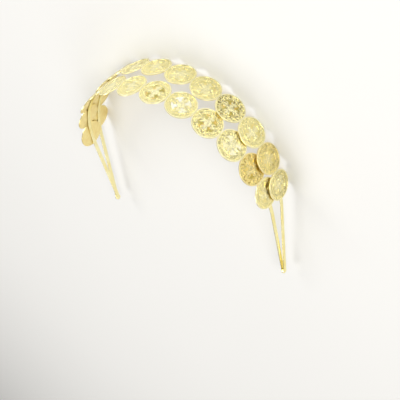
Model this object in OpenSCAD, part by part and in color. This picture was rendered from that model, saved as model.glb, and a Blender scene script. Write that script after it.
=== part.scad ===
// Coin headband: two narrow metal bands, bent to one hoop and joined at both tips,
// each carrying a row of flat coins with raised relief on its outer face.
// The hoop lies on its side: the rear row stands on the edges of its coins, the front row
// rises from the tips line above it. +X runs from one leg to the other, -Y points to the
// crown of the hoop, +Z is up.

/* [Hoop] */
// Outer radius of the front band round its half circle
hoop_r = 77; // [70:1:82]
// Length of each straight leg, from the half circle to the tip
leg_length = 60; // [54:1:70]
// Angle between the planes of the two bands, which meet at the tips
wedge_angle = 8.3; // [8.2:0.1:9]

/* [Bands] */
// Width of each band
band_width = 2.9; // [2.4:0.1:3]
// Thickness of each band
band_thickness = 0.5; // [0.4:0.1:0.5]
// How far the rear band runs outside the front band
rear_step = 1.5; // [1.5:0.1:2]
// Diameter of the round pad that joins the two bands at each tip
tip_diameter = 3.8; // [3.2:0.2:5]

/* [Rows of coins] */
// Coins on each band
coins_per_row = 12; // [6:2:12]
// Spacing of the coins along a band
coin_pitch = 19.2; // [19:0.1:19.6]
// How far the whole front row sits along its band, towards +X
front_row_shift = 4.4; // [0:0.2:4.4]
// Gap between neighbouring coins, which meet on a straight edge
mitre_gap = 0.1; // [0.06:0.02:0.2]
// Gap between the back of a coin and its band
seat_gap = 0.05; // [0.04:0.01:0.05]

/* [Coin] */
// Diameter of a coin
coin_diameter = 20; // [19.8:0.1:20.2]
// Thickness of the flat blank
blank_thickness = 0.4; // [0.35:0.05:0.4]
// Height of the relief above the blank
relief_height = 0.25; // [0.15:0.05:0.25]
// Width of the plain rim
rim_width = 0.7; // [0.5:0.1:1]
// Beads in the ring inside the rim
bead_count = 36; // [20:2:40]
// Diameter of a bead
bead_diameter = 0.8; // [0.6:0.1:0.9]
// Slanted leaves between the beads and the inner ring
leaf_count = 24; // [16:1:24]

/* [Hidden] */
$fn = 96;
coin_r = coin_diameter / 2;
coin_thickness = blank_thickness + relief_height;
rim_bevel = 0.12;
sink = 0.1;
bead_circle_r = coin_r - rim_width - 0.6;
leaf_length = 1.7;
leaf_width = 0.7;
leaf_circle_r = 7.2;
leaf_slant = 35;
inner_ring_r = 6.3;
inner_ring_width = 0.35;
palmette_length = 3.6;
palmette_width = 1.4;
palmette_centre_r = 3.95;
palmette_spread = 22;
palmette_lean = 8;
boss_diameter = 5;
cutter = 3 * coin_diameter;

// Depth from the tips line to the outermost coins, which centres the hoop on the origin
crown_depth = leg_length
    + (band_r("rear") + seat_gap + coin_thickness) / cos(turn_at("rear", coin_pitch / 2));
tips_y = (crown_depth - tip_diameter / 2) / 2;

ROWS = ["front", "rear"];

function coin_name(row, i) = str("coin_", row, "_", i < 10 ? "0" : "", i);

// Outer radius of a row's band
function band_r(row) = hoop_r + (row == "rear" ? rear_step : 0);

// Turn about the hoop's centre for arc length s, from -Y towards +X
function turn_at(row, s) = s / band_r(row) * 180 / PI;

// Arc length at the middle of coin i, or halfway to its neighbour where i ends in a half
function coin_place(row, i) = (i - (coins_per_row + 1) / 2) * coin_pitch
    + (row == "front" ? front_row_shift : 0);

// Puts a row in its plane: both planes pass through the tips line
module in_row(row) {
    translate([0, tips_y, coin_r])
        rotate([row == "front" ? -wedge_angle : 0, 0, 0])
            children();
}

// Puts X along the band, Y across it and Z outwards, on its outer face at arc length s
module on_band(row, s) {
    translate([0, -leg_length, 0])
        rotate([90, 0, turn_at(row, s)])
            translate([0, 0, band_r(row)])
                children();
}

// A half circle with a straight leg down to the tips line at each end
module band(row) {
    inner_r = band_r(row) - band_thickness;
    in_row(row)
        translate([0, -leg_length, -band_width / 2]) {
            rotate([0, 0, 180])
                rotate_extrude(angle = 180)
                    translate([inner_r, 0])
                        square([band_thickness, band_width]);
            for (x = [-band_r(row), inner_r])
                translate([x, 0, 0])
                    cube([band_thickness, leg_length, band_width]);
        }
}

// Round pad on the tips line that holds the ends of both bands
module tip(side) {
    inner_x = hoop_r - band_thickness - sink;
    translate([side * inner_x, tips_y, coin_r])
        rotate([0, side * 90, 0])
            cylinder(d = tip_diameter, h = rear_step + band_thickness + 2 * sink);
}

module double_band() {
    color("goldenrod") {
        band("front");
        band("rear");
        for (side = [-1, 1]) tip(side);
    }
}

// Blank with its rim, flat back down
module coin_blank() {
    rim_inner = coin_r - rim_width;
    rotate_extrude()
        polygon([
            [0, 0],
            [coin_r - rim_bevel, 0],
            [coin_r, rim_bevel],
            [coin_r, coin_thickness - rim_bevel],
            [coin_r - rim_bevel, coin_thickness],
            [rim_inner, coin_thickness],
            [rim_inner - rim_bevel, blank_thickness],
            [0, blank_thickness]
        ]);
}

module bead_ring() {
    for (i = [0 : bead_count - 1])
        rotate([0, 0, (i + 0.5) * 360 / bead_count])
            translate([bead_circle_r, 0, blank_thickness - sink])
                cylinder(d = bead_diameter, h = relief_height * 0.8 + sink, $fn = 24);
}

module inner_ring() {
    translate([0, 0, blank_thickness - sink])
        difference() {
            cylinder(r = inner_ring_r, h = relief_height * 0.7 + sink);
            translate([0, 0, -sink])
                cylinder(r = inner_ring_r - inner_ring_width, h = 1);
        }
}

// Pointed oval between two crossing circles, its long way along X
module oval(length, width, height) {
    r = (pow(length, 2) / width + width) / 4;
    translate([0, 0, blank_thickness - sink])
        linear_extrude(height + sink)
            intersection() {
                translate([0, r - width / 2]) circle(r);
                translate([0, width / 2 - r]) circle(r);
            }
}

// Ring of slanted leaves round the inner ring
module leaf_ring() {
    for (i = [0 : leaf_count - 1])
        rotate([0, 0, i * 360 / leaf_count])
            translate([leaf_circle_r, 0, 0])
                rotate([0, 0, leaf_slant])
                    oval(leaf_length, leaf_width, relief_height * 0.6);
}

// One leaf of a palmette: the long middle one for side 0, a shorter one for side -1 or 1
module palmette_leaf(side) {
    share = side == 0 ? 1 : 0.8;
    rotate([0, 0, side * palmette_spread])
        translate([side == 0 ? palmette_centre_r : palmette_centre_r - 0.1, 0, 0])
            rotate([0, 0, side * palmette_lean])
                oval(palmette_length * share, palmette_width * share, relief_height * 0.9);
}

// Four palmettes along and across the band, with a boss in the middle
module rosette() {
    for (turn = [0 : 90 : 270])
        rotate([0, 0, turn])
            for (side = [-1 : 1]) palmette_leaf(side);
    translate([0, 0, blank_thickness - sink])
        cylinder(d = boss_diameter, h = relief_height + sink);
}

// One coin on its band, cut straight where it meets its neighbours
module coin(row, i) {
    color("gold")
        in_row(row)
            difference() {
                on_band(row, coin_place(row, i))
                    translate([0, 0, seat_gap]) {
                        coin_blank();
                        bead_ring();
                        leaf_ring();
                        inner_ring();
                        rosette();
                    }
                if (i > 1)
                    on_band(row, coin_place(row, i - 0.5))
                        translate([mitre_gap / 2 - cutter, -cutter / 2, -cutter / 2])
                            cube(cutter);
                if (i < coins_per_row)
                    on_band(row, coin_place(row, i + 0.5))
                        translate([-mitre_gap / 2, -cutter / 2, -cutter / 2])
                            cube(cutter);
            }
}

double_band();
for (row = ROWS)
    for (i = [1 : coins_per_row])
        coin(row, i);
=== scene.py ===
"""Looks of a coin headband, laid out as an add-on: two narrow gold-toned bands joined at the
tips of one hoop, each with a row of coins in raised relief."""

import math
from collections import namedtuple
from contextlib import contextmanager

import bmesh
import bpy
from bpy.props import FloatProperty, FloatVectorProperty, IntProperty, PointerProperty
from mathutils import Matrix, Vector


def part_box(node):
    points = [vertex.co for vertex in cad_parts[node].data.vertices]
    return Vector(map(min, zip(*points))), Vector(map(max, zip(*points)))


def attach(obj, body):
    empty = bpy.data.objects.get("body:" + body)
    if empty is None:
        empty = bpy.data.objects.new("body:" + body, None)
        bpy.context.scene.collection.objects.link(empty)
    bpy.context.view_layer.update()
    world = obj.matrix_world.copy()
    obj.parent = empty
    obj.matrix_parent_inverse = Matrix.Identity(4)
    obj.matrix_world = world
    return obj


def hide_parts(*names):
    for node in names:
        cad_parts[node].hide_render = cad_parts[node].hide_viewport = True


bl_info = {
    "name": "Coin Headband",
    "version": (1, 0, 0),
    "blender": (4, 5, 0),
    "location": "View3D > Sidebar > Coin Headband",
    "description": "Dresses a hoop of two bands of coins in polished gold tone",
    "category": "Object",
}

MM = 0.001
BODY = "root"

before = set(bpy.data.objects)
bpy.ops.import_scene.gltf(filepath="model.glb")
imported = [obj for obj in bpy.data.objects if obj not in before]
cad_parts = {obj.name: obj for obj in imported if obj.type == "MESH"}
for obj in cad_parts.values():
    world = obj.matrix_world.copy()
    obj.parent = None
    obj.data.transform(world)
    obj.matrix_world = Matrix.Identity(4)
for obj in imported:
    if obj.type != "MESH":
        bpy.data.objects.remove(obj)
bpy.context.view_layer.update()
TIPS_END_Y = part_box("double_band")[1].y

# Points closer than this count as being at the same place
NEAR = 0.01 * MM
# Welding distance along a straight cut
CUT_THRESHOLD = 1e-8
# Faces that meet at less than this are shaded as one surface
SMOOTH_ANGLE = math.radians(35)

# How bright the painted reflection on a coin's smooth fields is, from a painted dark reflection at
# 0 to a painted glint at 1, where it isn't half way
PAINTED_GLEAMS = {
    "front": {
        1: 0.6, 2: 0.3, 3: 0.75, 4: 0.05, 5: 1.0, 6: 0.15, 7: 0.6, 9: 0.2, 10: 0.8, 12: 0.3},
    "rear": {1: 0.55, 2: 0.4, 4: 0.05, 6: 0.65, 8: 0.3, 9: 0.7, 11: 0.2},
}
DEFAULT_PAINTED_GLEAM = 0.5
# How strongly a coin is tinted with painted amber reflection, where it is tinted at all
REFLECTED_AMBERS = {
    "front": {1: 0.2, 2: 0.8, 9: 0.5, 12: 0.7},
    "rear": {1: 0.15, 2: 0.55, 9: 0.3, 12: 0.4},
}
# How deep a coin's grain is and how dark the painted shade in its recesses is, where it is not half
# as deep as it gets
DEPTHS = {
    "front": {
        1: 0.6, 2: 1.0, 3: 0.8, 4: 0.75, 6: 0.35, 7: 0.25, 8: 0.2, 9: 0.25, 10: 0.7, 12: 0.8},
    "rear": {1: 0.8, 2: 0.85, 4: 1.0, 6: 0.4, 7: 0.25, 8: 0.2, 9: 0.25, 11: 0.8},
}
DEFAULT_DEPTH = 0.5


# Sizes and colours

class HoopSizes(bpy.types.PropertyGroup):
    """Sizes of the hoop that the two bands make"""
    arc_radius: FloatProperty(
        name="Arc Radius", description="Outer radius of the front band round its half circle",
        default=77 * MM, unit="LENGTH", precision=5)
    leg_length: FloatProperty(
        name="Leg Length",
        description="Length of each straight leg, from the half circle to the tip",
        default=60 * MM, unit="LENGTH", precision=5)
    wedge_angle: FloatProperty(
        name="Wedge Angle", description="Angle between the planes of the two bands",
        default=math.radians(8.3), subtype="ANGLE")
    band_width: FloatProperty(
        name="Band Width", description="Width of each band",
        default=2.9 * MM, unit="LENGTH", precision=5)
    band_thickness: FloatProperty(
        name="Band Thickness", description="Thickness of each band",
        default=0.5 * MM, unit="LENGTH", precision=5)
    rear_step: FloatProperty(
        name="Rear Step", description="How far the rear band runs outside the front band",
        default=1.5 * MM, unit="LENGTH", precision=5)
    edge_rounding: FloatProperty(
        name="Edge Rounding", description="Radius of a band's long edges",
        default=0.16 * MM, unit="LENGTH", precision=5)
    tip_diameter: FloatProperty(
        name="Tip Diameter",
        description="Diameter of the round pad that joins the bands at each tip",
        default=3.8 * MM, unit="LENGTH", precision=5)
    tip_inset: FloatProperty(
        name="Tip Inset", description="How far a pad stands out past the bands on either side",
        default=0.1 * MM, unit="LENGTH", precision=5)


class CoinSizes(bpy.types.PropertyGroup):
    """Sizes of the coins and of their places along the bands"""
    per_row: IntProperty(name="Coins per Row", description="Coins on each band", default=12, min=2)
    pitch: FloatProperty(
        name="Pitch", description="Spacing of the coins along a band",
        default=19.2 * MM, unit="LENGTH", precision=5)
    front_shift: FloatProperty(
        name="Front Row Shift", description="How far the front row sits along its band, towards +X",
        default=4.4 * MM, unit="LENGTH", precision=5)
    mitre_gap: FloatProperty(
        name="Mitre Gap", description="Gap between neighbouring coins",
        default=0.1 * MM, unit="LENGTH", precision=5)
    seat_gap: FloatProperty(
        name="Seat Gap", description="Gap between the back of a coin and its band",
        default=0.05 * MM, unit="LENGTH", precision=5)
    diameter: FloatProperty(
        name="Diameter", description="Diameter of a coin",
        default=20 * MM, unit="LENGTH", precision=5)
    blank_thickness: FloatProperty(
        name="Blank Thickness", description="Thickness of the flat blank",
        default=0.4 * MM, unit="LENGTH", precision=5)
    relief_height: FloatProperty(
        name="Relief Height", description="Height of the relief above the blank",
        default=0.25 * MM, unit="LENGTH", precision=5)
    rim_width: FloatProperty(
        name="Rim Width", description="Width of the plain rim",
        default=0.7 * MM, unit="LENGTH", precision=5)
    bead_count: IntProperty(
        name="Beads", description="Beads in the ring inside the rim", default=36, min=8)
    bead_diameter: FloatProperty(
        name="Bead Diameter", description="Diameter of a bead",
        default=0.8 * MM, unit="LENGTH", precision=5)
    leaf_count: IntProperty(
        name="Leaves", description="Slanted leaves between the beads and the inner ring",
        default=24, min=8)
    leaf_length: FloatProperty(
        name="Leaf Length", description="Length of a leaf",
        default=1.7 * MM, unit="LENGTH", precision=5)
    leaf_width: FloatProperty(
        name="Leaf Width", description="Width of a leaf",
        default=0.7 * MM, unit="LENGTH", precision=5)
    leaf_place: FloatProperty(
        name="Leaf Place", description="Distance from the coin's centre to the middle of a leaf",
        default=7.2 * MM, unit="LENGTH", precision=5)
    leaf_slant: FloatProperty(
        name="Leaf Slant", description="Turn of each leaf out of the radial line",
        default=math.radians(35), subtype="ANGLE")
    ring_radius: FloatProperty(
        name="Ring Radius", description="Outer radius of the inner ring",
        default=6.3 * MM, unit="LENGTH", precision=5)
    ring_width: FloatProperty(
        name="Ring Width", description="Width of the inner ring",
        default=0.35 * MM, unit="LENGTH", precision=5)
    palmette_length: FloatProperty(
        name="Palmette Length", description="Length of the long leaf of each of the four palmettes",
        default=3.6 * MM, unit="LENGTH", precision=5)
    palmette_width: FloatProperty(
        name="Palmette Leaf Width", description="Width of the long leaf of a palmette",
        default=1.4 * MM, unit="LENGTH", precision=5)
    palmette_place: FloatProperty(
        name="Palmette Place",
        description="Distance from the coin's centre to the middle of the long leaf",
        default=3.95 * MM, unit="LENGTH", precision=5)
    palmette_spread: FloatProperty(
        name="Palmette Spread",
        description="Turn about the coin's centre from the long leaf to a short one",
        default=math.radians(22), subtype="ANGLE")
    boss_diameter: FloatProperty(
        name="Boss Diameter", description="Diameter of the round boss in the middle",
        default=5 * MM, unit="LENGTH", precision=5)


class MetalFinish(bpy.types.PropertyGroup):
    """Colours of the gold-toned metal, among them painted shade and painted reflections on the
    coins
    """
    # Pale crests: partly the polish of the high parts, partly painted highlight
    coin_bright: FloatVectorProperty(
        name="Coin Crests", description="Colour of the polished high parts of a coin",
        default=(1.0, 0.95, 0.62), subtype="COLOR", min=0, max=1)
    coin_ground: FloatVectorProperty(
        name="Coin Ground", description="Colour of the worked ground round the relief",
        default=(1.0, 0.91, 0.42), subtype="COLOR", min=0, max=1)
    # Painted shade at the foot of the relief
    coin_recess_shade: FloatVectorProperty(
        name="Coin Recesses", description="Colour at the foot of the relief",
        default=(0.36, 0.27, 0.05), subtype="COLOR", min=0, max=1)
    # Painted shade in the recesses of the coins of deepest grain
    coin_deep_shade: FloatVectorProperty(
        name="Coin Deep Recesses", description="Colour of the recesses where the grain is deepest",
        default=(0.17, 0.12, 0.02), subtype="COLOR", min=0, max=1)
    # Painted dark reflection on the smooth fields
    coin_field_reflection: FloatVectorProperty(
        name="Coin Dull Fields", description="Colour of the smooth fields where they are dull",
        default=(0.52, 0.44, 0.11), subtype="COLOR", min=0, max=1)
    # Painted amber reflection: spots in the dark fields, and a tint of the deepest recesses'
    # painted shade on the amber-tinted coins
    coin_painted_amber: FloatVectorProperty(
        name="Coin Amber", description="Colour of the amber touches in the dull fields",
        default=(0.82, 0.56, 0.14), subtype="COLOR", min=0, max=1)
    # Painted glint: a bright reflection on the smooth fields
    coin_painted_glint: FloatVectorProperty(
        name="Coin Bright Fields", description="Colour of the smooth fields where they gleam",
        default=(1.0, 1.0, 0.92), subtype="COLOR", min=0, max=1)
    # Tint of painted amber reflection over the listed coins
    coin_reflection_tint: FloatVectorProperty(
        name="Coin Warm Tint", description="Tint over the warmest coins",
        default=(0.92, 0.82, 0.58), subtype="COLOR", min=0, max=1)
    coin_back: FloatVectorProperty(
        name="Coin Backs", description="Colour of the plain backs and edges",
        default=(1.0, 0.86, 0.42), subtype="COLOR", min=0, max=1)
    coin_back_deep: FloatVectorProperty(
        name="Coin Back Shade", description="Deeper tone that varies over the backs",
        default=(0.93, 0.76, 0.33), subtype="COLOR", min=0, max=1)
    band_bright: FloatVectorProperty(
        name="Band", description="Colour of the bands",
        default=(1.0, 0.94, 0.58), subtype="COLOR", min=0, max=1)
    band_deep: FloatVectorProperty(
        name="Band Shade", description="Deeper tone that varies along the bands",
        default=(0.96, 0.84, 0.40), subtype="COLOR", min=0, max=1)


class StageSettings(bpy.types.PropertyGroup):
    """Floor, light and camera"""
    floor_size: FloatProperty(
        name="Floor Size", description="Side of the square floor", default=6.0, unit="LENGTH")
    floor_color: FloatVectorProperty(
        name="Floor", description="Colour of the pale floor",
        default=(0.79, 0.785, 0.77), subtype="COLOR", min=0, max=1)
    azimuth: FloatProperty(
        name="Azimuth", description="Direction that the camera looks from, 0 along +Y",
        default=math.radians(-37.454), subtype="ANGLE")
    elevation: FloatProperty(
        name="Elevation", description="Height of the camera above the horizon",
        default=math.radians(33.694), subtype="ANGLE")
    roll: FloatProperty(
        name="Roll", description="Turn of the camera about its own line of sight",
        default=math.radians(-134.562), subtype="ANGLE")
    distance: FloatProperty(
        name="Distance", description="From the aim to the camera",
        default=474.63 * MM, unit="LENGTH")
    aim: FloatVectorProperty(
        name="Aim", description="Point in the middle of the picture",
        default=(-19.814 * MM, 20.726 * MM, 20.815 * MM), subtype="XYZ", precision=5)
    lens: FloatProperty(
        name="Lens", description="Focal length of the camera in millimetres", default=63.078)


# Selecting and editing

def make_active(piece):
    """Selects one piece alone and makes it the active one."""
    bpy.ops.object.select_all(action="DESELECT")
    piece.select_set(True)
    bpy.context.view_layer.objects.active = piece


@contextmanager
def editing(piece):
    """Edit mode on one piece, with all of it selected."""
    make_active(piece)
    bpy.ops.object.mode_set(mode="EDIT")
    bpy.ops.mesh.select_all(action="SELECT")
    yield
    bpy.ops.object.mode_set(mode="OBJECT")


def select_faces(piece, wanted):
    """Selects the faces whose centre and normal pass the test, in edit mode."""
    bpy.ops.mesh.select_mode(type="FACE")
    mesh = bmesh.from_edit_mesh(piece.data)
    for face in mesh.faces:
        face.select_set(wanted(face.calc_center_median(), face.normal))
    bmesh.update_edit_mesh(piece.data)


def select_edges(piece, wanted):
    """Selects the edges whose two ends pass the test, in edit mode."""
    bpy.ops.mesh.select_mode(type="EDGE")
    mesh = bmesh.from_edit_mesh(piece.data)
    for edge in mesh.edges:
        edge.select_set(wanted(edge.verts[0].co, edge.verts[1].co))
    bmesh.update_edit_mesh(piece.data)


def apply_place(piece):
    """Moves a piece's place, turn and scale into its mesh."""
    make_active(piece)
    bpy.ops.object.transform_apply(location=True, rotation=True, scale=True)


def finish_surface(piece, material):
    """Gives a piece its one material and smooth shading."""
    piece.data.materials.clear()
    piece.data.materials.append(material)
    make_active(piece)
    bpy.ops.object.shade_smooth_by_angle(angle=SMOOTH_ANGLE)


def combine(piece, other, operation):
    """Joins, cuts or keeps the common part of two closed meshes, and removes the second."""
    modifier = piece.modifiers.new("Combine", "BOOLEAN")
    modifier.operation = operation
    modifier.solver = "MANIFOLD"
    modifier.object = other
    make_active(piece)
    bpy.ops.object.modifier_apply(modifier=modifier.name)
    bpy.data.objects.remove(other)


def join(pieces):
    """Makes one mesh of several pieces and returns it."""
    make_active(pieces[0])
    for piece in pieces:
        piece.select_set(True)
    bpy.ops.object.join()
    return bpy.context.view_layer.objects.active


def turned(piece, angle):
    """A piece turned about the coin's centre."""
    piece.rotation_euler = (0, 0, angle)
    apply_place(piece)
    return piece


def repeat_round(piece, count):
    """Repeats a piece round the Z axis, evenly, so that there are count of it."""
    with editing(piece):
        bpy.ops.mesh.spin(
            steps=count - 1, angle=math.tau * (count - 1) / count,
            center=(0, 0, 0), axis=(0, 0, 1), dupli=True)


def duplicate(piece, name):
    """A copy of a piece with a mesh of its own."""
    copy = piece.copy()
    copy.data = piece.data.copy()
    copy.name = name
    copy.data.name = name
    bpy.context.scene.collection.objects.link(copy)
    return copy


def box_of(piece):
    """Lowest and highest corner of a finished piece."""
    corners = [piece.matrix_world @ Vector(corner) for corner in piece.bound_box]
    low = Vector([min(corner[axis] for corner in corners) for axis in range(3)])
    high = Vector([max(corner[axis] for corner in corners) for axis in range(3)])
    return low, high


def stand_for(piece, node, tolerance=0.3 * MM):
    """Puts a finished piece in a node's stead, once it is seen to lie where the node is."""
    bpy.context.view_layer.update()
    for made, given in zip(box_of(piece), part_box(node)):
        if max(abs(a - b) for a, b in zip(made, given)) > tolerance:
            raise RuntimeError(f"{piece.name} doesn't lie where {node} is: {made} and {given}")
    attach(piece, BODY)
    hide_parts(node)


# Where things are on the hoop

def band_radius(hoop, row):
    """Outer radius of a row's band."""
    return hoop.arc_radius + (hoop.rear_step if row == "rear" else 0)


def row_plane(hoop, coin, row):
    """From a row's own plane, with the tips on its X axis, to the hoop as it lies."""
    tips_y = TIPS_END_Y - hoop.tip_diameter / 2
    turn = -hoop.wedge_angle if row == "front" else 0
    return Matrix.Translation((0, tips_y, coin.diameter / 2)) @ Matrix.Rotation(turn, 4, "X")


def seat(hoop, coin, row, index):
    """From a coin that lies face up at the origin to its place on a band."""
    radius = band_radius(hoop, row)
    shift = coin.front_shift if row == "front" else 0
    along = (index - (coin.per_row + 1) / 2) * coin.pitch + shift
    return (
        row_plane(hoop, coin, row)
        @ Matrix.Translation((0, -hoop.leg_length, 0))
        @ Matrix.Rotation(along / radius, 4, "Z")
        @ Matrix.Rotation(math.radians(90), 4, "X")
        @ Matrix.Translation((0, 0, radius + coin.seat_gap))
    )


# Double band

# Straight steps round the half circle of a band
ARC_STEPS = 120
# Steps across a rounded edge of a band
EDGE_STEPS = 4
PAD_SIDES = 64
PAD_ROUNDING = 0.45 * MM
PAD_ROUNDING_STEPS = 5


def band(hoop, coin, row):
    """One band: a rounded strip down a leg, round the half circle and up the other leg."""
    middle = band_radius(hoop, row) - hoop.band_thickness / 2
    bpy.ops.mesh.primitive_plane_add(
        size=1, location=(-middle, 0, 0), rotation=(math.radians(90), 0, 0))
    strip = bpy.context.object
    strip.name = f"band_{row}"
    strip.scale = (hoop.band_thickness, hoop.band_width, 1)
    apply_place(strip)
    down, up = (0, -hoop.leg_length, 0), (0, hoop.leg_length, 0)
    with editing(strip):
        bpy.ops.mesh.bevel(offset=hoop.edge_rounding, segments=EDGE_STEPS, affect="VERTICES")
        bpy.ops.mesh.delete(type="ONLY_FACE")
        bpy.ops.mesh.select_all(action="SELECT")
        bpy.ops.mesh.extrude_edges_move(TRANSFORM_OT_translate={"value": down})
        bpy.ops.mesh.spin(steps=ARC_STEPS, angle=math.pi, center=down, axis=(0, 0, -1))
        bpy.ops.mesh.extrude_edges_move(TRANSFORM_OT_translate={"value": up})
        bpy.ops.mesh.select_all(action="SELECT")
        bpy.ops.mesh.fill_holes(sides=0)
        bpy.ops.mesh.normals_make_consistent(inside=False)
    strip.matrix_world = row_plane(hoop, coin, row)
    apply_place(strip)
    return strip


def tip_pad(hoop, coin, side):
    """The round pad that joins both bands at one tip, with softened rims."""
    inner = hoop.arc_radius - hoop.band_thickness - hoop.tip_inset
    length = hoop.rear_step + hoop.band_thickness + 2 * hoop.tip_inset
    place = (side * (inner + length / 2), TIPS_END_Y - hoop.tip_diameter / 2, coin.diameter / 2)
    bpy.ops.mesh.primitive_cylinder_add(
        vertices=PAD_SIDES, radius=hoop.tip_diameter / 2, depth=length, location=place,
        rotation=(0, math.radians(90), 0))
    pad = bpy.context.object
    pad.name = "tip_pad"
    apply_place(pad)
    rim_x = length / 2 - NEAR

    def on_rim(a, b):
        return abs(a.x - b.x) < NEAR and abs(abs(a.x) - abs(place[0])) > rim_x

    with editing(pad):
        select_edges(pad, on_rim)
        bpy.ops.mesh.bevel(offset=PAD_ROUNDING, segments=PAD_ROUNDING_STEPS, affect="EDGES")
    return pad


# Blank of a coin

COIN_SIDES = 160
# A face whose normal rises more than this faces up
FACES_UP = 0.9
COIN_EDGE_ROUNDING = 0.13 * MM
COIN_EDGE_STEPS = 4
# How much narrower the rim's flat top is than the rim, and the width of its rounded inner edge
RIM_STEP = 0.05 * MM
RIM_ROUNDING = 0.18 * MM
RIM_PARTS = 5
# Parts of the inner ring's arch, and its height as a share of the highest relief
RING_PARTS = 8
RING_HEIGHT = 0.7


def face_steps(coin):
    """Radius and height of each step across a coin's face, from the rim inwards."""
    field = coin.blank_thickness
    relief = coin.relief_height
    rim_top = coin.diameter / 2 - coin.rim_width + RIM_STEP
    steps = [(rim_top, field + relief)]
    for part in range(1, RIM_PARTS + 1):
        angle = math.radians(90 / RIM_PARTS * part)
        steps.append((rim_top - RIM_ROUNDING * math.sin(angle), field + relief * math.cos(angle)))
    ring_middle = coin.ring_radius - coin.ring_width / 2
    for part in range(RING_PARTS + 1):
        angle = math.radians(180 / RING_PARTS * part)
        steps.append((
            ring_middle + coin.ring_width / 2 * math.cos(angle),
            field + relief * RING_HEIGHT * math.sin(angle)))
    return steps


def coin_blank(coin):
    """The blank with its rim and inner ring, stepped across its face by insets."""
    radius = coin.diameter / 2
    top = coin.blank_thickness + coin.relief_height
    bpy.ops.mesh.primitive_cylinder_add(
        vertices=COIN_SIDES, radius=radius, depth=top, location=(0, 0, top / 2))
    blank = bpy.context.object
    blank.name = "coin_blank"
    apply_place(blank)
    edge_radius = radius - NEAR

    def on_outer_edge(a, b):
        return min(a.xy.length, b.xy.length) > edge_radius and abs(a.z - b.z) < NEAR

    with editing(blank):
        select_faces(blank, lambda centre, normal: normal.z > FACES_UP)
        at_radius, at_height = radius, top
        for step_radius, step_height in face_steps(coin):
            bpy.ops.mesh.inset(
                thickness=at_radius - step_radius, depth=step_height - at_height,
                use_even_offset=True)
            at_radius, at_height = step_radius, step_height
        select_edges(blank, on_outer_edge)
        bpy.ops.mesh.bevel(offset=COIN_EDGE_ROUNDING, segments=COIN_EDGE_STEPS, affect="EDGES")
    return blank


# Relief of a coin, whose heights are shares of the highest relief

# How far the relief reaches down into the blank
SINK = 0.06 * MM
# From the rim to the circle that the beads lie on
BEAD_INSET = 0.6 * MM
BEAD_HEIGHT = 0.8
LEAF_HEIGHT = 0.7
LEAF_DOT_RADIUS = 0.24 * MM
LEAF_DOT_HEIGHT = 0.55
GRAIN_RADIUS = 0.2 * MM
GRAIN_HEIGHT = 0.5
# Distance of each ring of grains from the leaves, and its turn as a share of a leaf's room
GRAIN_RINGS = ((-0.62 * MM, 0.25), (0.68 * MM, 0.75))
PALMETTE_COUNT = 4
PALMETTE_HEIGHT = 0.9
# Turn of a short leaf about its own middle
PALMETTE_LEAN = 0.14
SHORT_LEAF_SHARE = 0.8
# How much nearer to the coin's centre a short leaf lies
SHORT_LEAF_STEP = 0.1 * MM
GROOVE_RADIUS = 0.11 * MM
# Length of the groove, as a share of the leaf's
GROOVE_LENGTH = 0.7
GROOVE_SIDES = 8
BOSS_SIDES = 96
BOSS_SHELF_HEIGHT = 0.35
BOSS_ROUNDING = 0.06 * MM
BOSS_ROUNDING_STEPS = 3
BOSS_HEART_RADIUS = 0.62 * MM
PETAL_COUNT = 8
PETAL_RADIUS = 0.40 * MM
PETAL_STRETCH = 1.45
PETAL_PLACE = 1.32 * MM
PETAL_HEIGHT = 0.95
BOSS_DOT_COUNT = 16
BOSS_DOT_RADIUS = 0.19 * MM
BOSS_DOT_PLACE = 2.16 * MM
BOSS_DOT_HEIGHT = 0.8
# One dot stands in the field between each two palmettes
FIELD_DOT_RADIUS = 0.36 * MM
FIELD_DOT_PLACE = 5.3 * MM
FIELD_DOT_HEIGHT = 0.7


def dome(coin, radius, height, place, stretch=1, segments=16, rings=10):
    """A low dome at so far from the coin's centre, longer along X by the stretch."""
    field = coin.blank_thickness
    bpy.ops.mesh.primitive_uv_sphere_add(segments=segments, ring_count=rings, radius=radius)
    rise = bpy.context.object
    rise.scale = (stretch, 1, height / radius)
    rise.location = (place, 0, field)
    apply_place(rise)
    with editing(rise):
        bpy.ops.mesh.bisect(
            plane_co=(0, 0, field - SINK), plane_no=(0, 0, 1), use_fill=True, clear_inner=True,
            threshold=CUT_THRESHOLD)
    return rise


def bead_ring(coin):
    """The ring of round beads inside the rim."""
    place = coin.diameter / 2 - coin.rim_width - BEAD_INSET
    bead = dome(coin, coin.bead_diameter / 2, coin.relief_height * BEAD_HEIGHT, place)
    beads = turned(bead, math.pi / coin.bead_count)
    repeat_round(beads, coin.bead_count)
    return beads


def long_leaf(coin, length, width, height, place, slant):
    """A long low leaf at so far from the coin's centre, turned out of the radial line."""
    blade = turned(dome(coin, width / 2, height, 0, stretch=length / width), slant)
    blade.location.x = place
    apply_place(blade)
    return blade


def leaf_ring(coin):
    """Slanted leaves round the inner ring, with a small dot between each two."""
    slanted = long_leaf(
        coin, coin.leaf_length, coin.leaf_width, coin.relief_height * LEAF_HEIGHT,
        coin.leaf_place, coin.leaf_slant)
    dot = dome(
        coin, LEAF_DOT_RADIUS, coin.relief_height * LEAF_DOT_HEIGHT, coin.leaf_place,
        segments=12, rings=8)
    leaves = join([slanted, turned(dot, math.pi / coin.leaf_count)])
    repeat_round(leaves, coin.leaf_count)
    return leaves


def grains(coin):
    """Two rings of fine grains, one on each side of the ring of leaves."""
    rings = []
    for step, share in GRAIN_RINGS:
        grain = dome(
            coin, GRAIN_RADIUS, coin.relief_height * GRAIN_HEIGHT, coin.leaf_place + step,
            segments=8, rings=6)
        ring = turned(grain, share * math.tau / coin.leaf_count)
        repeat_round(ring, coin.leaf_count * 2)
        rings.append(ring)
    return join(rings)


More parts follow.
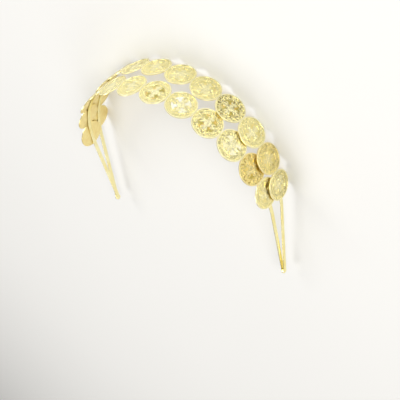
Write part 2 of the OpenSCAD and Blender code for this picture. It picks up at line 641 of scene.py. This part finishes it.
def groove(coin, length, place, lean):
    """The bar that cuts a groove along the middle of a palmette's leaf."""
    crest = coin.blank_thickness + coin.relief_height * PALMETTE_HEIGHT
    bpy.ops.mesh.primitive_cylinder_add(
        vertices=GROOVE_SIDES, radius=GROOVE_RADIUS, depth=length, location=(0, 0, crest),
        rotation=(0, math.radians(90), 0))
    bar = bpy.context.object
    apply_place(bar)
    turned(bar, lean)
    bar.location.x = place
    apply_place(bar)
    return bar


def palmettes(coin):
    """The palmettes, each of a long leaf between two shorter ones, all grooved along the middle."""
    leaves, grooves = [], []
    for side in (-1, 0, 1):
        share = SHORT_LEAF_SHARE if side else 1
        length = coin.palmette_length * share
        place = coin.palmette_place - (SHORT_LEAF_STEP if side else 0)
        lean, spread = side * PALMETTE_LEAN, side * coin.palmette_spread
        leaf = long_leaf(
            coin, length, coin.palmette_width * share, coin.relief_height * PALMETTE_HEIGHT,
            place, lean)
        leaves.append(turned(leaf, spread))
        grooves.append(turned(groove(coin, length * GROOVE_LENGTH, place, lean), spread))
    palmette = leaves[0]
    for other in leaves[1:]:
        combine(palmette, other, "UNION")
    combine(palmette, join(grooves), "DIFFERENCE")
    palmette.name = "palmettes"
    repeat_round(palmette, PALMETTE_COUNT)
    return palmette


def boss(coin):
    """The round boss: a low disc with a flower on it inside a ring of small dots."""
    relief = coin.relief_height
    foot = coin.blank_thickness - SINK
    shelf = coin.blank_thickness + relief * BOSS_SHELF_HEIGHT
    bpy.ops.mesh.primitive_cylinder_add(
        vertices=BOSS_SIDES, radius=coin.boss_diameter / 2, depth=shelf - foot,
        location=(0, 0, (shelf + foot) / 2))
    disc = bpy.context.object
    disc.name = "boss"
    apply_place(disc)
    with editing(disc):
        select_edges(disc, lambda a, b: min(a.z, b.z) > shelf - NEAR)
        bpy.ops.mesh.bevel(offset=BOSS_ROUNDING, segments=BOSS_ROUNDING_STEPS, affect="EDGES")
    heart = dome(coin, BOSS_HEART_RADIUS, relief, 0, segments=32, rings=16)
    combine(disc, heart, "UNION")
    flower = dome(coin, PETAL_RADIUS, relief * PETAL_HEIGHT, PETAL_PLACE, stretch=PETAL_STRETCH)
    repeat_round(flower, PETAL_COUNT)
    combine(disc, flower, "UNION")
    dot = dome(
        coin, BOSS_DOT_RADIUS, relief * BOSS_DOT_HEIGHT, BOSS_DOT_PLACE, segments=12, rings=8)
    dot_ring = turned(dot, math.pi / BOSS_DOT_COUNT)
    repeat_round(dot_ring, BOSS_DOT_COUNT)
    combine(disc, dot_ring, "UNION")
    return disc


def coin_master(coin):
    """The whole coin, face up at the origin, with its back on the XY plane."""
    body = coin_blank(coin)
    dot = dome(coin, FIELD_DOT_RADIUS, coin.relief_height * FIELD_DOT_HEIGHT, FIELD_DOT_PLACE)
    field_dots = turned(dot, math.pi / PALMETTE_COUNT)
    repeat_round(field_dots, PALMETTE_COUNT)
    for relief in (
            palmettes(coin), boss(coin), bead_ring(coin), leaf_ring(coin), grains(coin),
            field_dots):
        combine(body, relief, "UNION")
    return body


# Copies of the coin

def note_own_place(piece):
    """Stores each point's place on its own coin, before the coin is put on its band."""
    places = piece.data.attributes.new("own_place", "FLOAT_VECTOR", "POINT")
    for point, place in zip(piece.data.vertices, places.data):
        place.vector = point.co


def note_tone(piece, name, value):
    """Stores one value for a whole coin, from 0 to 1: the painted reflection on its smooth fields,
    its painted amber reflection, or its depth of grain and of painted shade.
    """
    values = piece.data.attributes.new(name, "FLOAT", "POINT").data
    values.foreach_set("value", [value] * len(values))


def trimmed_coin(hoop, coin, row, master, sides):
    """A copy of the coin, cut straight where it meets its neighbours on the given sides."""
    radius = band_radius(hoop, row)
    half_turn = coin.pitch / 2 / radius
    axis_point = Vector((0, 0, -radius - coin.seat_gap))
    copy = duplicate(master, "coin")
    for side in sides:
        across = Vector((side * math.cos(half_turn), 0, -math.sin(half_turn)))
        with editing(copy):
            bpy.ops.mesh.bisect(
                plane_co=axis_point - across * coin.mitre_gap / 2, plane_no=across, use_fill=True,
                clear_outer=True, threshold=CUT_THRESHOLD)
    return copy


# Nodes of the materials

# Range that nearly all of the noise's values fall in, and the middle part of it
NOISE_RANGE = (0.3, 0.7)
NOISE_MIDDLE = (0.35, 0.65)
# Share of a scattered dot that is dark all over, inside its soft edge
DOT_CORE = 0.7


def new_material(name):
    """A material with an empty node tree, its output and its shader."""
    material = bpy.data.materials.new(name)
    material.use_nodes = True
    tree = material.node_tree
    tree.nodes.clear()
    output = tree.nodes.new("ShaderNodeOutputMaterial")
    shader = tree.nodes.new("ShaderNodeBsdfPrincipled")
    tree.links.new(shader.outputs["BSDF"], output.inputs["Surface"])
    return material, tree, shader


def noise(tree, scale, detail, roughness=0.5):
    """Noise on the piece's own coordinates, at so many features a metre."""
    coordinates = tree.nodes.new("ShaderNodeTexCoord")
    texture = tree.nodes.new("ShaderNodeTexNoise")
    texture.inputs["Scale"].default_value = scale
    texture.inputs["Detail"].default_value = detail
    texture.inputs["Roughness"].default_value = roughness
    tree.links.new(coordinates.outputs["Object"], texture.inputs["Vector"])
    return texture.outputs["Fac"]


def scattered_dots(tree, scale, size):
    """Scattered dots on the piece's own coordinates, at so many a metre, 1 at their middles."""
    coordinates = tree.nodes.new("ShaderNodeTexCoord")
    texture = tree.nodes.new("ShaderNodeTexVoronoi")
    texture.inputs["Scale"].default_value = scale
    tree.links.new(coordinates.outputs["Object"], texture.inputs["Vector"])
    return remap(tree, texture.outputs["Distance"], size * DOT_CORE, size, 1, 0)


def remap(tree, value, low, high, to_low=0, to_high=1):
    """A value's range stretched to another, and held inside it."""
    node = tree.nodes.new("ShaderNodeMapRange")
    node.inputs["From Min"].default_value = low
    node.inputs["From Max"].default_value = high
    node.inputs["To Min"].default_value = to_low
    node.inputs["To Max"].default_value = to_high
    tree.links.new(value, node.inputs["Value"])
    return node.outputs["Result"]


def calculate(tree, operation, *values):
    """One step of arithmetic with one or two values, each of which may be a number."""
    node = tree.nodes.new("ShaderNodeMath")
    node.operation = operation
    for socket, value in zip(node.inputs, values):
        if isinstance(value, (int, float)):
            socket.default_value = value
        else:
            tree.links.new(value, socket)
    return node.outputs["Value"]


def mix_colors(tree, share, first, second, blend="MIX"):
    """Two colours mixed by a value; a colour is a socket or three numbers."""
    node = tree.nodes.new("ShaderNodeMix")
    node.data_type = "RGBA"
    node.blend_type = blend
    tree.links.new(share, node.inputs["Factor"])
    for socket, color in ((node.inputs[6], first), (node.inputs[7], second)):
        if isinstance(color, bpy.types.NodeSocket):
            tree.links.new(color, socket)
        else:
            socket.default_value = (*color, 1)
    return node.outputs[2]


def bump(tree, height, strength, distance, under=None):
    """Fine unevenness from a height, on top of what is under it."""
    node = tree.nodes.new("ShaderNodeBump")
    node.inputs["Strength"].default_value = strength
    node.inputs["Distance"].default_value = distance
    tree.links.new(height, node.inputs["Height"])
    if under:
        tree.links.new(under, node.inputs["Normal"])
    return node.outputs["Normal"]


def attribute(tree, name, output="Fac"):
    """A value that the piece's own mesh holds."""
    node = tree.nodes.new("ShaderNodeAttribute")
    node.attribute_name = name
    return node.outputs[output]


# Metal of the coins

# Nearness to a diagonal at which a smooth patch begins and is full
PATCH_EDGE = (0.24, 0.34)
# Width of the soft edges between the parts of a face
SOFT_EDGE = 0.1 * MM
# Width of the ring of beads, from the rim inwards, and how much of its ground is kept clear of
# painted shade
BEAD_BAND = 1.1 * MM
BEAD_GROUND = 0.8
# Noise values between which the painted shade of the recesses gives way to the ground
GROUND_SPOTS = (0.33, 0.46)
# How much of the recesses is kept clear of painted shade on a coin of the shallowest grain
SHALLOW_GROUND = 0.55
# Height at which the relief is as pale as it gets, as a share of its own, and how pale that is; the
# pale crests are partly polish and partly painted highlight
CREST_START = 0.4
CREST_SHARE = 0.9
# How far the painted reflection on the smooth fields changes from place to place
PAINTED_GLEAM_CHANGE = (-0.3, 0.1)
# Noise values between which painted amber reflection spots come into the dark fields
AMBER_TOUCHES = (0.50, 0.62)
# How much painted amber reflection the painted shade of the deepest recesses takes on the
# amber-tinted coins
RECESS_AMBER_REFLECTION = 0.45
# Heights between which the painted shade specks in the recesses fade out, as shares of the relief's
PIT_HEIGHTS = (0.25, 0.6)
# The painted shade specks darken faster than the depth of grain by this power
PIT_POWER = 1.8
# Roughness of the polished metal, and what satin parts add to it
COIN_POLISH = (0.08, 0.20)
SHALLOW_SATIN = 0.16
BACK_SATIN = 0.3
RIM_SATIN = 0.18
# Depth of the grain on coins of the shallowest and the deepest grain, and on the backs
GRAIN_DEPTHS = (0.4, 1.6)
BACK_GRAIN = 0.22

CoinZones = namedtuple("CoinZones", "radius height smooth grained front behind rim_inner")


def own_place(tree):
    """Distance from the coin's axis, nearness to a diagonal and height above the back."""
    place = attribute(tree, "own_place", "Vector")
    parts = tree.nodes.new("ShaderNodeSeparateXYZ")
    tree.links.new(place, parts.inputs["Vector"])
    x, y, height = (parts.outputs[axis] for axis in "XYZ")
    square = calculate(
        tree, "ADD", calculate(tree, "MULTIPLY", x, x), calculate(tree, "MULTIPLY", y, y))
    product = calculate(tree, "ABSOLUTE", calculate(tree, "MULTIPLY", x, y))
    return calculate(tree, "SQRT", square), calculate(tree, "DIVIDE", product, square), height


def coin_zones(tree, coin):
    """Where a coin is smooth or grained, and how much of each point faces out or back."""
    radius, diagonal, height = own_place(tree)
    foot = coin.blank_thickness
    rim_inner = coin.diameter / 2 - coin.rim_width
    level = remap(tree, height, foot, foot + NEAR, 1, 0)
    inside = remap(tree, radius, coin.ring_radius - coin.ring_width, coin.ring_radius, 1, 0)
    patch = calculate(tree, "MULTIPLY", inside, remap(tree, diagonal, *PATCH_EDGE))
    smooth = calculate(tree, "MULTIPLY", patch, level)
    within_rim = remap(tree, radius, rim_inner - 2 * SOFT_EDGE, rim_inner, 1, 0)
    front = remap(tree, height, 0, foot)
    grained = calculate(tree, "MULTIPLY", within_rim, calculate(tree, "SUBTRACT", 1, smooth))
    grained = calculate(tree, "MULTIPLY", grained, front)
    behind = remap(tree, height, 0, foot, 1, 0)
    return CoinZones(radius, height, smooth, grained, front, behind, rim_inner)


def coin_relief(tree, finish, coin, zones, grain, deep):
    """Colour of the relief: pale crests, partly polish and partly painted highlight, a worked
    ground and painted shade in the recesses.
    """
    depth = attribute(tree, "depth")
    foot = coin.blank_thickness
    beads_inner = zones.rim_inner - BEAD_BAND
    among_beads = remap(
        tree, zones.radius, beads_inner - SOFT_EDGE, beads_inner + SOFT_EDGE, 0, BEAD_GROUND)
    # Painted shade in the recesses: broken up by the grain noise, kept off the beads' ground,
    # lighter on coins of shallow grain and darker on coins of deeper grain
    shallow = remap(tree, depth, 0, DEFAULT_DEPTH, SHALLOW_GROUND, 0)
    ground_share = calculate(tree, "MAXIMUM", remap(tree, grain, *GROUND_SPOTS), among_beads)
    ground_share = calculate(tree, "MAXIMUM", ground_share, shallow)
    recess = mix_colors(tree, remap(tree, depth, DEFAULT_DEPTH, 1), finish.coin_recess_shade, deep)
    ground = mix_colors(tree, ground_share, recess, finish.coin_ground)
    # Paler towards the crests: partly polish, partly painted highlight
    crest_share = remap(
        tree, zones.height, foot, foot + coin.relief_height * CREST_START, 0, CREST_SHARE)
    return mix_colors(tree, crest_share, ground, finish.coin_bright)


def coin_field_reflection(tree, finish):
    """Painted reflections on the smooth fields, from a dark reflection with amber spots to a bright
    glint.
    """
    change = remap(tree, noise(tree, scale=110, detail=1), *NOISE_MIDDLE, *PAINTED_GLEAM_CHANGE)
    painted_gleam = calculate(tree, "ADD", attribute(tree, "painted_gleam"), change)
    touches = remap(tree, noise(tree, scale=420, detail=2), *AMBER_TOUCHES)
    dark_reflection = mix_colors(tree, touches, finish.coin_field_reflection, finish.coin_painted_amber)
    field = mix_colors(tree, remap(tree, painted_gleam, 0, DEFAULT_PAINTED_GLEAM), dark_reflection, finish.coin_ground)
    return mix_colors(tree, remap(tree, painted_gleam, DEFAULT_PAINTED_GLEAM, 1), field, finish.coin_painted_glint)


def coin_shade_specks(tree, coin, zones):
    """Painted shade specks in the recesses, darker on the coins of deeper grain."""
    low_share, high_share = PIT_HEIGHTS
    foot, relief = coin.blank_thickness, coin.relief_height
    low = remap(tree, zones.height, foot + relief * low_share, foot + relief * high_share, 1, 0)
    recesses = calculate(tree, "MULTIPLY", low, zones.grained)
    pits = calculate(tree, "MULTIPLY", scattered_dots(tree, scale=780, size=0.46), recesses)
    darkness = calculate(tree, "POWER", attribute(tree, "depth"), PIT_POWER)
    return calculate(tree, "MULTIPLY", pits, darkness)


def coin_face(tree, finish, coin, zones, grain):
    """Colour of a coin's front: relief, painted reflections on the smooth fields and painted shade
    specks, all tinted with painted amber reflection on the listed coins.
    """
    reflected_amber = attribute(tree, "reflected_amber")
    # Painted amber reflection tints the painted shade of the deepest recesses
    amber_share = remap(tree, reflected_amber, 0, 1, 0, RECESS_AMBER_REFLECTION)
    deep = mix_colors(tree, amber_share, finish.coin_deep_shade, finish.coin_painted_amber)
    relief = coin_relief(tree, finish, coin, zones, grain, deep)
    face = mix_colors(tree, zones.smooth, relief, coin_field_reflection(tree, finish))
    # Painted shade specks over the recesses
    face = mix_colors(tree, coin_shade_specks(tree, coin, zones), face, deep)
    # Tint of painted amber reflection over the whole front
    return mix_colors(tree, reflected_amber, face, finish.coin_reflection_tint, "MULTIPLY")


def coin_back(tree, finish):
    """Colour of the plain backs, with a soft change of tone."""
    tone = remap(tree, noise(tree, scale=240, detail=3, roughness=0.6), *NOISE_MIDDLE)
    return mix_colors(tree, tone, finish.coin_back_deep, finish.coin_back)


def coin_roughness(tree, zones):
    """Polished metal, more satin on the rims, the backs and the coins of shallow grain."""
    fine = noise(tree, scale=5200, detail=2, roughness=0.6)
    polish = remap(tree, fine, *NOISE_RANGE, *COIN_POLISH)
    shallow = remap(tree, attribute(tree, "depth"), 0, DEFAULT_DEPTH, SHALLOW_SATIN, 0)
    satin = calculate(tree, "ADD", shallow, remap(tree, zones.behind, 0.5, 1, 0, BACK_SATIN))
    rim = remap(tree, zones.radius, zones.rim_inner, zones.rim_inner + SOFT_EDGE, 0, RIM_SATIN)
    satin = calculate(tree, "ADD", satin, calculate(tree, "MULTIPLY", rim, zones.front))
    return calculate(tree, "ADD", polish, satin)


def coin_unevenness(tree, zones, grain):
    """Soft waves all over a coin, with a pitted grain round its relief and a faint one behind."""
    wavy = bump(tree, noise(tree, scale=330, detail=2), strength=0.3, distance=0.12 * MM)
    grain_depth = remap(tree, attribute(tree, "depth"), 0, 1, *GRAIN_DEPTHS)
    pitted = calculate(tree, "MULTIPLY", grain, zones.grained)
    pitted = calculate(tree, "MULTIPLY", pitted, grain_depth)
    back_share = remap(tree, zones.behind, 0, 1, 0, BACK_GRAIN)
    pitted = calculate(tree, "ADD", pitted, calculate(tree, "MULTIPLY", grain, back_share))
    return bump(tree, pitted, strength=1, distance=0.2 * MM, under=wavy)


def coin_metal(finish, coin):
    """Gold-toned coin metal: pale crests, a grained ground, painted shade in the recesses and
    painted reflections on the smooth fields.
    """
    material, tree, shader = new_material("coin_gold")
    zones = coin_zones(tree, coin)
    grain = noise(tree, scale=1300, detail=2, roughness=0.6)
    face = coin_face(tree, finish, coin, zones, grain)
    color = mix_colors(tree, zones.behind, face, coin_back(tree, finish))
    tree.links.new(color, shader.inputs["Base Color"])
    tree.links.new(coin_roughness(tree, zones), shader.inputs["Roughness"])
    tree.links.new(coin_unevenness(tree, zones, grain), shader.inputs["Normal"])
    shader.inputs["Metallic"].default_value = 1
    return material


# Metal of the bands and the floor

# Noise values between which a band goes from its deeper to its brighter tone
BAND_TONE = (0.35, 0.68)
BAND_POLISH = (0.14, 0.28)
# The floor's darkest tone, as a share of its colour
FLOOR_SHADE = 0.98
FLOOR_ROUGHNESS = 0.75


def band_metal(finish):
    """Gold-toned band metal: polished, with soft tone changes and fine scratches."""
    material, tree, shader = new_material("band_gold")
    tone = remap(tree, noise(tree, scale=90, detail=3, roughness=0.6), *BAND_TONE)
    color = mix_colors(tree, tone, finish.band_deep, finish.band_bright)
    tree.links.new(color, shader.inputs["Base Color"])
    shader.inputs["Specular Tint"].default_value = (*finish.band_bright, 1)
    grain = noise(tree, scale=2600, detail=4, roughness=0.7)
    tree.links.new(remap(tree, grain, *NOISE_RANGE, *BAND_POLISH), shader.inputs["Roughness"])
    wavy = bump(tree, noise(tree, scale=260, detail=2), strength=0.4, distance=0.08 * MM)
    fine = bump(tree, grain, strength=0.3, distance=0.02 * MM, under=wavy)
    tree.links.new(fine, shader.inputs["Normal"])
    shader.inputs["Metallic"].default_value = 1
    return material


def floor_surface(stage):
    """Pale smooth floor with a slight unevenness of tone."""
    material, tree, shader = new_material("pale_floor")
    tone = remap(tree, noise(tree, scale=3, detail=2), *NOISE_RANGE)
    base = Vector(stage.floor_color)
    tree.links.new(mix_colors(tree, tone, base * FLOOR_SHADE, base), shader.inputs["Base Color"])
    shader.inputs["Roughness"].default_value = FLOOR_ROUGHNESS
    return material


# Stage

LAMP_WHITE = (1.0, 0.99, 0.97)
# Name, place, side of the square and power of each light
LAMPS = (
    ("key", (-0.62, -0.46, 0.64), 0.5, 5.2),
    ("right", (0.55, -0.72, 0.60), 0.5, 4.1),
    ("left", (-0.55, 0.72, 0.60), 0.5, 1.8),
    ("top", (0.35, 0.35, 1.00), 0.6, 5.2),
)
# Point in the middle of the hoop that the lights face
LAMP_AIM = Vector((0, 0, 0.02))
SURROUND_STRENGTH = 0.32


def add_floor(stage):
    """The plain floor that the hoop lies on."""
    bpy.ops.mesh.primitive_plane_add(size=stage.floor_size, location=(0, 0, 0))
    floor = bpy.context.object
    floor.name = "floor"
    floor.data.materials.append(floor_surface(stage))


def add_lamp(name, place, size, power):
    """A square soft light that faces the hoop."""
    bpy.ops.object.light_add(type="AREA", location=place)
    light = bpy.context.object
    light.name = name
    light.data.size = size
    light.data.energy = power
    light.data.color = LAMP_WHITE
    light.rotation_euler = (Vector(place) - LAMP_AIM).to_track_quat("Z", "Y").to_euler()


def add_surround():
    """Even light from all round."""
    world = bpy.data.worlds.new("studio")
    world.use_nodes = True
    background = world.node_tree.nodes["Background"]
    background.inputs["Color"].default_value = (*LAMP_WHITE, 1)
    background.inputs["Strength"].default_value = SURROUND_STRENGTH
    bpy.context.scene.world = world


def add_camera(stage):
    """The camera at the picture's angle to the hoop, rolled as the hoop is worn."""
    flat = math.cos(stage.elevation)
    back = Vector((
        math.sin(stage.azimuth) * flat, -math.cos(stage.azimuth) * flat, math.sin(stage.elevation)))
    level = Vector((math.cos(stage.azimuth), math.sin(stage.azimuth), 0))
    above = back.cross(level)
    right = level * math.cos(stage.roll) + above * math.sin(stage.roll)
    up = back.cross(right)
    bpy.ops.object.camera_add(location=Vector(stage.aim) + back * stage.distance)
    camera = bpy.context.object
    camera.name = "camera"
    camera.rotation_euler = Matrix((right, up, back)).transposed().to_euler()
    camera.data.lens = stage.lens
    camera.data.clip_start = 0.01
    camera.data.clip_end = 30
    bpy.context.scene.camera = camera


# Operators

class HEADBAND_OT_double_band(bpy.types.Operator):
    """Make the two bands and the pads that join them at the tips"""
    bl_idname = "headband.double_band"
    bl_label = "Double Band"

    def execute(self, context):
        hoop = context.scene.headband_hoop
        coin = context.scene.headband_coin
        whole = band(hoop, coin, "front")
        for other in (band(hoop, coin, "rear"), tip_pad(hoop, coin, -1), tip_pad(hoop, coin, 1)):
            combine(whole, other, "UNION")
        whole.name = "double_band_dressed"
        whole.data.name = whole.name
        finish_surface(whole, band_metal(context.scene.headband_finish))
        stand_for(whole, "double_band")
        return {"FINISHED"}


class HEADBAND_OT_coins(bpy.types.Operator):
    """Make both rows of coins from one master coin"""
    bl_idname = "headband.coins"
    bl_label = "Coins"

    def execute(self, context):
        hoop = context.scene.headband_hoop
        coin = context.scene.headband_coin
        master = coin_master(coin)
        note_own_place(master)
        finish_surface(master, coin_metal(context.scene.headband_finish, coin))
        for row in ("front", "rear"):
            cuts = {(1,): [1], (-1,): [coin.per_row], (-1, 1): range(2, coin.per_row)}
            for sides, places in cuts.items():
                trimmed = trimmed_coin(hoop, coin, row, master, sides)
                for index in places:
                    self.place_coin(hoop, coin, row, index, trimmed)
                bpy.data.objects.remove(trimmed)
        bpy.data.objects.remove(master)
        return {"FINISHED"}

    @staticmethod
    def place_coin(hoop, coin, row, index, trimmed):
        """Puts a copy of the trimmed coin on its band, with its own painted reflections, painted
        shade and depth of grain.
        """
        node = f"coin_{row}_{index:02d}"
        placed = duplicate(trimmed, f"{node}_dressed")
        note_tone(placed, "painted_gleam", PAINTED_GLEAMS[row].get(index, DEFAULT_PAINTED_GLEAM))
        note_tone(placed, "reflected_amber", REFLECTED_AMBERS[row].get(index, 0))
        note_tone(placed, "depth", DEPTHS[row].get(index, DEFAULT_DEPTH))
        placed.matrix_world = seat(hoop, coin, row, index)
        apply_place(placed)
        stand_for(placed, node)


class HEADBAND_OT_stage(bpy.types.Operator):
    """Make the floor, the lights and the camera"""
    bl_idname = "headband.stage"
    bl_label = "Stage"

    def execute(self, context):
        stage = context.scene.headband_stage
        add_floor(stage)
        add_surround()
        for lamp in LAMPS:
            add_lamp(*lamp)
        add_camera(stage)
        context.scene.view_settings.view_transform = "Standard"
        return {"FINISHED"}


class HEADBAND_PT_sidebar(bpy.types.Panel):
    """The headband's pieces and sizes in the 3D view's sidebar"""
    bl_label = "Coin Headband"
    bl_idname = "HEADBAND_PT_sidebar"
    bl_space_type = "VIEW_3D"
    bl_region_type = "UI"
    bl_category = "Coin Headband"

    def draw(self, context):
        layout = self.layout
        for operator in (HEADBAND_OT_double_band, HEADBAND_OT_coins, HEADBAND_OT_stage):
            layout.operator(operator.bl_idname)
        for group in SETTINGS:
            box = layout.box()
            settings = getattr(context.scene, group)
            for name in settings.__annotations__:
                box.prop(settings, name)


SETTINGS = {
    "headband_hoop": HoopSizes,
    "headband_coin": CoinSizes,
    "headband_finish": MetalFinish,
    "headband_stage": StageSettings,
}
CLASSES = (
    *SETTINGS.values(),
    HEADBAND_OT_double_band,
    HEADBAND_OT_coins,
    HEADBAND_OT_stage,
    HEADBAND_PT_sidebar,
)


def register():
    for cls in CLASSES:
        bpy.utils.register_class(cls)
    for name, group in SETTINGS.items():
        setattr(bpy.types.Scene, name, PointerProperty(type=group))


def unregister():
    for name in SETTINGS:
        delattr(bpy.types.Scene, name)
    for cls in reversed(CLASSES):
        bpy.utils.unregister_class(cls)


def main():
    """Makes every piece and the stage."""
    register()
    bpy.ops.headband.double_band()
    bpy.ops.headband.coins()
    bpy.ops.headband.stage()


if __name__ == "__main__":
    main()
